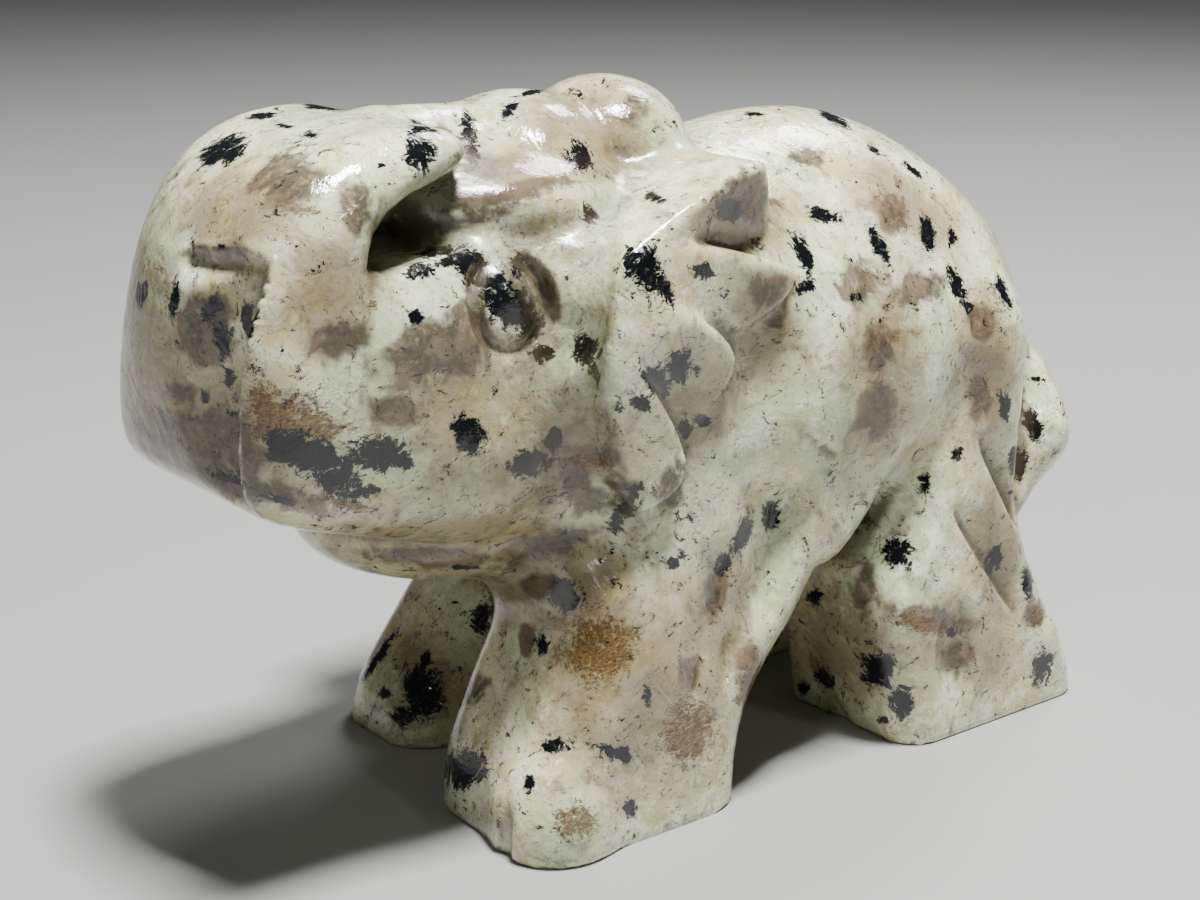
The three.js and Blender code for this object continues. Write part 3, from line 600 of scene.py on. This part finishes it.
# Ovals: across, down, half width and half height in photograph pixels, turn in degrees
BLACK_MARKS = {
    "trunk": [
        (222, 150, 24, 12, -25), (262, 116, 12, 3, -5), (322, 106, 19, 4, 8), (285, 126, 8, 2, 0),
        (311, 135, 6, 3, 30), (421, 143, 15, 27, 8), (470, 140, 8, 25, -8), (382, 165, 5, 3, 0),
        (318, 185, 4, 6, 0), (221, 247, 4, 4, 0), (142, 294, 5, 13, 8), (174, 304, 4, 21, 5),
        (211, 310, 8, 13, 45), (221, 338, 8, 18, -10), (247, 320, 5, 25, -5), (229, 377, 4, 8, 0),
        (206, 397, 7, 6, 0), (167, 342, 3, 3, 0), (228, 478, 26, 4, 22), (283, 501, 15, 3, 22),
        (232, 412, 24, 1.6, 25), (166, 425, 3, 22, -25), (184, 445, 10, 1.8, 40),
    ],
    "under the trunk": [
        (304, 452, 34, 20, 20), (335, 474, 32, 18, 25), (375, 455, 30, 16, -10), (360, 494, 22, 5, -12),
        (280, 452, 14, 14, 0), (400, 459, 14, 8, 20),
    ],
    "cheek": [
        (467, 436, 15, 21, -15), (416, 317, 8, 8, 0), (530, 463, 20, 12, -15), (553, 440, 8, 13, 15),
        (542, 353, 13, 9, 0), (586, 350, 13, 14, 0), (596, 371, 3, 9, -20), (463, 567, 14, 2.5, 0),
    ],
    "brow": [
        (466, 265, 12, 22, -25), (421, 271, 15, 7, -12), (436, 252, 18, 5, -12), (482, 280, 8, 12, 0),
        (518, 266, 8, 11, 15), (532, 326, 15, 11, -30), (499, 296, 12, 24, 10), (591, 216, 6, 11, -8),
        (470, 262, 20, 12, 20), (450, 262, 14, 7, 0), (486, 288, 9, 14, 0), (518, 312, 16, 14, 0),
        (655, 198, 10, 5, 25), (520, 300, 14, 12, 0),
    ],
    "ear": [
        (642, 268, 17, 20, -35), (664, 288, 7, 16, -25), (702, 271, 10, 8, -20), (729, 211, 13, 12, 0),
        (677, 366, 14, 16, 0), (655, 381, 10, 17, -45), (684, 428, 6, 10, -40), (618, 405, 5, 6, 0),
        (641, 405, 9, 9, 0), (622, 515, 9, 20, 30), (633, 495, 6, 12, 30), (702, 420, 7, 6, 40),
    ],
    "trunk's end": [
        (579, 157, 12, 15, -5), (509, 111, 11, 5, -45), (533, 92, 13, 2.5, -12), (577, 93, 8, 3, 35),
        (603, 80, 3, 2, 0),
    ],
    "body": [
        (803, 253, 8, 19, -20), (806, 287, 10, 6, -20), (797, 307, 4, 4, 0), (822, 214, 18, 7, 15),
        (880, 246, 7, 18, -25), (928, 233, 7, 18, -12), (958, 288, 6, 24, -25), (952, 236, 3, 9, -15),
        (709, 142, 10, 5, 10), (834, 119, 17, 4, 27), (873, 150, 10, 3, 32), (755, 114, 9, 2, 0),
        (913, 170, 10, 3, 40), (1003, 291, 4, 20, -22), (857, 297, 5, 5, 0),
    ],
    "rump and tail": [
        (1005, 408, 5, 15, 5), (1032, 426, 8, 16, -25), (1018, 463, 9, 16, 5), (1034, 379, 11, 2.5, 8),
        (957, 454, 6, 7, 20),
    ],
    "front legs": [
        (565, 595, 14, 15, 0), (481, 618, 7, 16, 0), (422, 690, 18, 26, -20), (403, 716, 12, 10, 20),
        (385, 694, 6, 4, 0), (377, 660, 4, 28, 35), (463, 768, 21, 19, -15), (556, 747, 13, 8, 0),
        (617, 752, 18, 6, 15), (529, 785, 5, 10, 20), (631, 807, 7, 10, -10), (647, 698, 5, 9, 0),
        (674, 562, 12, 6, -40), (743, 533, 7, 22, 20), (771, 516, 9, 14, 0), (722, 565, 6, 12, 25),
        (541, 642, 6, 10, 0), (425, 662, 4, 10, 20),
    ],
    "hind legs": [
        (897, 553, 14, 17, 0), (924, 484, 6, 12, 0), (880, 669, 16, 16, 35), (902, 702, 11, 17, -10),
        (994, 560, 8, 13, 20), (1027, 580, 5, 16, -5), (1043, 668, 8, 19, 15), (814, 597, 8, 7, 0),
        (804, 689, 6, 6, 0), (826, 679, 6, 11, -40), (951, 632, 6, 5, 0), (884, 720, 6, 4, 0),
    ],
}

SMOKY_PATCHES_AND_SHADE = {
    "trunk": [
        (338, 340, 30, 20, -10), (290, 180, 34, 28, 0), (360, 206, 18, 28, -10), (210, 432, 40, 26, 15),
        (178, 393, 18, 10, 0), (215, 254, 34, 7, 0), (394, 410, 28, 14, 10), (245, 460, 20, 18, 0),
    ],
    # The jaw and lower-edge patches are partly the stone's own translucent brown, partly painted shade on
    # the shaded undersides
    "jaw": [(440, 556, 80, 9, 4), (545, 545, 44, 12, -20)],
    "trunk's lower edge": [(185, 455, 60, 34, 30), (262, 492, 60, 12, 12), (205, 330, 26, 34, 0)],
    "cheek": [
        (437, 352, 60, 30, -14), (575, 478, 16, 30, 0), (604, 497, 34, 16, -20), (548, 300, 9, 24, -15),
        (470, 330, 24, 24, 0),
    ],
    # The slot's patches are partly the stone's brown, partly painted shade in the shaded recess
    "slot": [(500, 196, 70, 9, -14), (412, 228, 24, 24, -35), (470, 218, 50, 8, -14)],
    "trunk's end": [(632, 108, 14, 16, 0)],
    "eye": [(516, 292, 26, 32, 8)],
    "ear": [
        (748, 200, 26, 22, 0), (768, 292, 20, 14, -30), (773, 322, 12, 8, 0), (671, 486, 12, 22, 15),
        (596, 456, 22, 10, 0),
    ],
    "front legs": [
        (527, 641, 8, 13, 0), (690, 672, 11, 18, 0), (714, 594, 12, 22, 15), (746, 672, 12, 26, 10),
        (540, 586, 18, 12, 0), (474, 690, 10, 20, 45), (590, 745, 6, 5, 0),
    ],
    "body": [
        (879, 349, 15, 24, 5), (877, 409, 17, 28, 8), (893, 214, 16, 20, -15), (859, 283, 18, 22, 0),
        (918, 287, 26, 16, -20), (981, 324, 14, 18, -15), (978, 399, 11, 22, 12), (808, 157, 22, 9, -5),
    ],
    "hind legs": [
        (955, 656, 15, 21, 20), (865, 592, 13, 26, 0), (1034, 612, 9, 14, 0), (930, 618, 38, 9, 10),
    ],
}

# Broad warm tints: partly the stone's own tan, partly painted shade laid on the shaded lower and under
# sides of trunk, jaw, cheek, legs and flank
TAN_TINTS_AND_PAINTED_SHADE = {
    "trunk": [(150, 400, 60, 100, 0), (230, 430, 110, 60, 15), (235, 215, 60, 45, 0), (330, 300, 50, 60, 0),
              (140, 300, 30, 60, 0)],
    "trunk's end": [(590, 130, 70, 50, 0), (520, 170, 60, 25, -15)],
    "cheek": [(470, 420, 100, 70, 0), (550, 465, 80, 45, -20)],
    "jaw": [(470, 545, 130, 40, 3), (560, 600, 70, 40, 0)],
    "ear": [(750, 225, 50, 35, 0), (700, 400, 40, 50, 0)],
    "body": [(880, 370, 38, 110, 8), (985, 370, 30, 80, 0), (900, 200, 60, 25, 35), (770, 330, 40, 60, 0)],
    "front legs": [(620, 690, 100, 100, -20), (715, 640, 45, 90, 15), (420, 690, 40, 60, 0)],
    "hind legs": [(960, 640, 60, 45, 0), (850, 640, 50, 60, 0), (1000, 560, 30, 80, 0)],
}

RUST_STAINS = {
    "trunk": [(292, 425, 52, 26, 15), (262, 405, 16, 26, -5), (345, 503, 26, 6, 15), (372, 306, 4, 4, 0),
              (305, 210, 16, 5, 0), (459, 158, 4, 4, 0)],
    "ear": [(745, 207, 12, 8, 0), (592, 462, 18, 8, 0)],
    "front legs": [
        (600, 648, 36, 30, -30), (690, 733, 24, 30, 20), (578, 822, 20, 16, 0), (746, 690, 9, 16, 10),
    ],
    "hind legs": [(925, 625, 34, 8, 10), (1036, 618, 7, 12, 0)],
}


def mark_level(groups, across, down, depth, facing, near_depth):
    """How strongly a kind of mark shows at each point of the skin: 1 well inside, a
    half at a mark's edge and 0 half its size outside. A mark is an oval seen in the
    photograph, and stays on the surface that is nearest there. It fades out where the
    skin turns away from the camera."""
    depth_room, depth_room_per_pixel = 3.0, 0.1
    level = np.zeros(len(across))
    for marks in groups.values():
        for x, y, half_x, half_y, turn in marks:
            cos, sin = math.cos(math.radians(turn)), math.sin(math.radians(turn))
            u, v = across - x, down - y
            reach = np.hypot((u * cos + v * sin) / half_x, (v * cos - u * sin) / half_y)
            room = depth_room + depth_room_per_pixel * max(half_x, half_y)
            there = np.abs(depth - near_depth(x, y)) < room
            level = np.maximum(level, np.clip(MARK_REACH - reach, 0, 1) * there)
    return level * ease(facing, -0.25, 0.0)


def nearest_surface(across, down, depth):
    """The depth of the nearest point in each small square of the photograph, and which
    points are seen: those near enough to it."""
    square, skin_room = 5, 1.5
    wide, high = PHOTO_WIDTH // square + 1, PHOTO_HEIGHT // square + 1
    net = np.full((high, wide), np.inf)
    column = np.clip(across / square, 0, wide - 1).astype(int)
    row = np.clip(down / square, 0, high - 1).astype(int)
    np.minimum.at(net, (row, column), depth)
    seen = depth < net[row, column] + skin_room

    def at(x, y):
        row, column = int(y / square), int(x / square)
        return net[max(row - 1, 0):row + 2, max(column - 1, 0):column + 2].min()
    return at, seen


def strewn_level(rng, count, size, stretch, hidden):
    """The same level for marks that the photograph doesn't show: flat eggs laid on the
    skin at points drawn from those hidden from the camera."""
    level = np.zeros(len(points))
    for centre in rng.choice(np.flatnonzero(hidden), count, replace=False):
        normal = normals[centre]
        along = np.cross(normal, rng.normal(size=3))
        along /= np.linalg.norm(along)
        half = rng.uniform(*size)
        away = points - points[centre]
        halves = [half * rng.uniform(*stretch), half, MARK_DEPTH * half]
        ways = [along, np.cross(normal, along), normal]
        reach = np.sqrt(sum((away @ way / extent) ** 2 for way, extent in zip(ways, halves)))
        level = np.maximum(level, np.clip(MARK_REACH - reach, 0, 1))
    return level


def add_marks(mesh):
    """Writes the four kinds of mark on to the skin's points as attributes, and how far
    each point is cut in, which the stone darkens as painted shade: how much nearer the
    surface is from just above the point than it would be on a flat face."""
    across, down, depth = in_photo(points)
    to_eye = EYE_POINT - points
    facing = (normals * to_eye).sum(1) / np.linalg.norm(to_eye, axis=1)
    near_depth, seen = nearest_surface(across, down, depth)
    hidden = ~seen | (facing < -0.1)
    rng = np.random.default_rng(MARK_SEED)
    # How far each point is cut in, for painted shade in creases and hollows
    crease = np.mean([np.clip(1 - figure(points + reach * normals) / reach, 0, 1)
                      for reach in PAINTED_SHADE_REACHES], 0)
    mesh.attributes.new("crease", "FLOAT", "POINT").data.foreach_set("value", crease.astype(np.float32))
    # The ovals, then how many marks are strewn, their half widths and how drawn out they are
    kinds = {
        "black": (BLACK_MARKS, 150, (0.35, 1.0), (1.0, 2.2)),
        "smoky": (SMOKY_PATCHES_AND_SHADE, 40, (0.7, 1.7), (1.0, 1.9)),
        "rust": (RUST_STAINS, 9, (0.6, 1.6), (1.0, 1.8)),
        "tan": (TAN_TINTS_AND_PAINTED_SHADE, 14, (2.5, 5.0), (1.0, 1.6)),
    }
    for name, (groups, count, size, stretch) in kinds.items():
        level = mark_level(groups, across, down, depth, facing, near_depth)
        strewn = strewn_level(rng, count, size, stretch, hidden)
        level = np.maximum(level, strewn * (1 - ease(facing, -0.15, 0.15) * seen))
        mesh.attributes.new(name, "FLOAT", "POINT").data.foreach_set("value", level.astype(np.float32))


add_marks(carving_mesh)


# Materials

NOISE_MEAN = 0.5


class Wire:
    """A value, colour or vector on its way through a material. The operators add Math nodes."""

    def __init__(self, tree, socket):
        self.tree = tree
        self.socket = socket

    def math(self, operation, *values):
        """Adds a Math node on numbers or wires."""
        node = self.tree.nodes.new("ShaderNodeMath")
        node.operation = operation
        for place, value in zip(node.inputs, values):
            plug(self.tree, place, value)
        return Wire(self.tree, node.outputs[0])

    def __add__(self, other):
        return self.math("ADD", self, other)

    def __sub__(self, other):
        return self.math("SUBTRACT", self, other)

    def __rsub__(self, other):
        return self.math("SUBTRACT", other, self)

    def __mul__(self, other):
        return self.math("MULTIPLY", self, other)

    __radd__ = __add__
    __rmul__ = __mul__

    def larger(self, other):
        """The larger of two."""
        return self.math("MAXIMUM", self, other)

    def swing(self):
        """A noise about its mean."""
        return self - NOISE_MEAN


def plug(tree, place, value):
    """Puts a number, colour or vector on a socket, or links a wire to it."""
    if isinstance(value, Wire):
        tree.links.new(value.socket, place)
    elif isinstance(value, (tuple, list)) and len(value) == 3 and place.type == "RGBA":
        place.default_value = (*value, 1.0)
    else:
        place.default_value = value


class Material:
    """A material with a Principled surface, built up node by node."""

    def __init__(self, name):
        self.made = bpy.data.materials.new(name)
        self.made.use_nodes = True
        self.tree = self.made.node_tree
        self.surface = self.tree.nodes["Principled BSDF"]

    def node(self, kind, settings=None, sockets=None, output=0):
        """Adds a node of a kind: its settings first, then its sockets' values or links."""
        node = self.tree.nodes.new("ShaderNode" + kind)
        for name, value in (settings or {}).items():
            setattr(node, name, value)
        by_identifier = {socket.identifier: socket for socket in node.inputs}
        for name, value in (sockets or {}).items():
            plug(self.tree, by_identifier.get(name) or node.inputs[name], value)
        for socket in node.outputs:
            if socket.identifier == output:
                return Wire(self.tree, socket)
        return Wire(self.tree, node.outputs[output])

    def attribute(self, name):
        """A number that the mesh carries at its points."""
        return self.node("Attribute", {"attribute_name": name}, output="Fac")

    def noise(self, places, scale, detail, rough, distortion=0.0):
        """A noise from 0 to 1, so many waves to a metre."""
        return self.node("TexNoise", None, {"Vector": places, "Scale": scale, "Detail": detail,
                                            "Roughness": rough, "Distortion": distortion})

    def smooth(self, value, low, high):
        """0 below low and 1 above high, with a smooth run between."""
        return self.node("MapRange", {"interpolation_type": "SMOOTHSTEP"},
                         {"Value": value, "From Min": low, "From Max": high})

    def mix(self, share, a, b):
        """Colour a turned into colour b by a share."""
        sockets = {"Factor": share, "A_Color": a, "B_Color": b}
        return self.node("Mix", {"data_type": "RGBA"}, sockets, "Result_Color")

    def set(self, **sockets):
        """Sets or links the surface's own sockets, with _ for each space in a name."""
        for name, value in sockets.items():
            plug(self.tree, self.surface.inputs[name.replace("_", " ")], value)


# The stone's colours
GREEN_WHITE = (0.50, 0.58, 0.345)
CREAM = (0.56, 0.49, 0.245)
GREY_GREEN = (0.20, 0.235, 0.125)
MILK = (0.93, 0.95, 0.71)
# Tan brown, also used as painted shade on lower and under sides
TAN_AND_SHADE_BROWN = (0.19, 0.130, 0.055)
# Smoky browns, also laid as painted shade under the jaw and trunk and in the slot
SMOKE = (0.055, 0.042, 0.028)
SMOKE_PALE = (0.150, 0.108, 0.066)
RUST = (0.055, 0.024, 0.006)
RUST_PALE = (0.20, 0.110, 0.022)
INK = (0.004, 0.005, 0.006)
INK_HALO = (0.060, 0.070, 0.062)
# Brown laid in creases and hollows as painted shade
PAINTED_CREASE_SHADE = (0.050, 0.036, 0.018)


def make_stone():
    """Polished pale stone: milky crystals in a green-white and cream ground, broad tan
    tints that are partly painted shade on lower and under sides, smoky glassy patches that
    are partly painted shade under the jaw and trunk and in the slot, rust stains, and ragged
    black minerals with a grey halo. The cut-in places are darkened brown with painted shade."""
    stone = Material("polished_stone")
    places = stone.node("TexCoord", output="Object")
    per_mm = 1000.0
    clouds = stone.noise(places, 0.16 * per_mm, 4.0, 0.6, 0.5)
    drift = stone.noise(places, 0.45 * per_mm, 5.0, 0.62, 0.8)
    soft = stone.noise(places, 0.80 * per_mm, 2.0, 0.5, 0.6)
    grain = stone.noise(places, 2.4 * per_mm, 5.0, 0.72, 0.6)
    fine = stone.noise(places, 8.0 * per_mm, 3.0, 0.7)
    ragged = stone.noise(places, 0.95 * per_mm, 7.0, 0.72, 1.5)
    drawn_out = stone.node("Mapping", None, {"Vector": places, "Rotation": (0.5, 0.3, 0.6),
                                             "Scale": (1.0, 0.4, 1.0)})
    feathers = stone.noise(drawn_out, 4.0 * per_mm, 5.0, 0.75, 2.0)
    crystal = stone.node("TexVoronoi", {"feature": "SMOOTH_F1"},
                         {"Vector": places, "Scale": 0.9 * per_mm, "Smoothness": 0.7}, output="Color")
    crystal = stone.node("SeparateColor", None, {"Color": crystal})

    colour = stone.mix(stone.smooth(clouds, 0.42, 0.60), GREEN_WHITE, CREAM)
    colour = stone.mix(stone.smooth(drift, 0.50, 0.66) * 0.60, colour, GREY_GREEN)
    milky = stone.smooth(crystal * 0.5 + grain.swing() * 2.4 + drift.swing() * 2.2, -0.15, 0.65)
    colour = stone.mix(milky * 0.85, colour, MILK)
    colour = stone.mix(stone.smooth(fine + grain.swing() * 1.0, 0.52, 0.72) * 0.22, colour, GREY_GREEN)

    # Tan tint, partly the stone's own and partly painted shade on lower and under sides
    tan_and_shade_level = stone.attribute("tan") + drift.swing() * 2.6 + grain.swing() * 1.6
    colour = stone.mix(stone.smooth(tan_and_shade_level, 0.0, 1.05) * 0.78, colour, TAN_AND_SHADE_BROWN)

    # Smoky glassy patches; under the jaw and trunk and in the slot they are partly painted shade
    smoky_and_shade_level = stone.attribute("smoky") + soft.swing() * 2.2 + ragged.swing() * 0.6
    smoky = stone.smooth(smoky_and_shade_level, 0.10, 0.80)
    smoky_depth = soft + crystal.swing() * 0.30 + grain.swing() * 0.6
    smoky_colour = stone.mix(stone.smooth(smoky_depth, 0.38, 0.68), SMOKE, SMOKE_PALE)
    colour = stone.mix(smoky * (0.92 - 0.30 * stone.smooth(grain, 0.52, 0.72)), colour, smoky_colour)

    rust_level = stone.attribute("rust") + ragged.swing() * 2.4 + feathers.swing() * 2.6
    rust = stone.smooth(rust_level + grain.swing() * 2.0, 0.10, 0.85)
    rust_colour = stone.mix(stone.smooth(feathers, 0.40, 0.56), RUST_PALE, RUST)
    colour = stone.mix(rust * 0.88, colour, rust_colour)

    black_level = stone.attribute("black")
    halo = stone.smooth(black_level + ragged.swing() * 2.2, 0.10, 0.80)
    colour = stone.mix(halo * 0.60, colour, INK_HALO)
    black = stone.smooth(black_level + ragged.swing() * 3.6 + feathers.swing() * 1.7, 0.38, 0.54)
    pepper = stone.smooth(ragged * 0.5 + feathers * 0.5, 0.66, 0.69)
    black = black.larger(pepper) * (1.0 - 0.30 * stone.smooth(grain, 0.58, 0.66))
    colour = stone.mix(black, colour, INK)

    # Painted shade: creases and hollows are darkened brown, and made rougher
    crease = stone.smooth(stone.attribute("crease") + ragged.swing() * 0.4, 0.05, 0.50)
    colour = stone.mix(crease * 0.75, colour, PAINTED_CREASE_SHADE)

    roughness = 0.09 + grain.swing() * 0.12 + rust * 0.18 + crease * 0.25
    bump = stone.node("Bump", None, {"Strength": 0.40, "Distance": 0.0001,
                                     "Height": drift * 3.0 + soft * 1.2 + grain * 0.10 - black * 0.15})
    stone.set(Base_Color=colour, Roughness=roughness, Normal=bump)
    stone.set(IOR=1.54, Coat_Weight=0.25, Coat_Roughness=0.03)
    return stone.made


carving_mesh.materials.append(make_stone())


# Floor, light and world, in metres, watts and radians

FLOOR_GREY = (0.30, 0.30, 0.295)
FLOOR_REACH = 1.5
LOOK_HEIGHT = 0.018
SURROUND_COLOUR = (0.90, 0.92, 0.95, 1)
SURROUND_STRENGTH = 0.05


def make_floor():
    """A plain pale floor at the soles' level."""
    floor_material = Material("pale_floor")
    floor_material.set(Base_Color=FLOOR_GREY, Roughness=0.5)
    mesh = bpy.data.meshes.new("floor")
    corners = [(x * FLOOR_REACH, y * FLOOR_REACH, 0) for x, y in ((-1, -1), (1, -1), (1, 1), (-1, 1))]
    mesh.from_pydata(corners, [], [(0, 1, 2, 3)])
    mesh.materials.append(floor_material.made)
    floor = bpy.data.objects.new("floor", mesh)
    bpy.context.scene.collection.objects.link(floor)


def make_light(name, place, size, power):
    """A square soft light that looks at the carving's middle."""
    data = bpy.data.lights.new(name, "AREA")
    data.size = size
    data.energy = power
    light = bpy.data.objects.new(name, data)
    light.location = place
    back = np.array(place) - np.array([0, 0, LOOK_HEIGHT])
    turn = math.atan2(back[0], -back[1])
    rise = math.atan2(back[2], math.hypot(back[0], back[1]))
    light.rotation_euler = (math.pi / 2 - rise, 0, turn)
    bpy.context.scene.collection.objects.link(light)


def make_world():
    """An even, pale surround."""
    world = bpy.data.worlds.new("surround")
    world.use_nodes = True
    background = world.node_tree.nodes["Background"]
    background.inputs["Color"].default_value = SURROUND_COLOUR
    background.inputs["Strength"].default_value = SURROUND_STRENGTH
    bpy.context.scene.world = world


make_floor()
make_light("key", (0.055, 0.01, 0.35), 0.06, 4.3)
make_light("left_glint", (0.10, -0.17, 0.17), 0.014, 0.05)
make_light("right_glint", (0.24, 0.05, 0.18), 0.014, 0.06)
make_light("rim", (-0.10, 0.20, 0.26), 0.08, 0.6)
make_world()
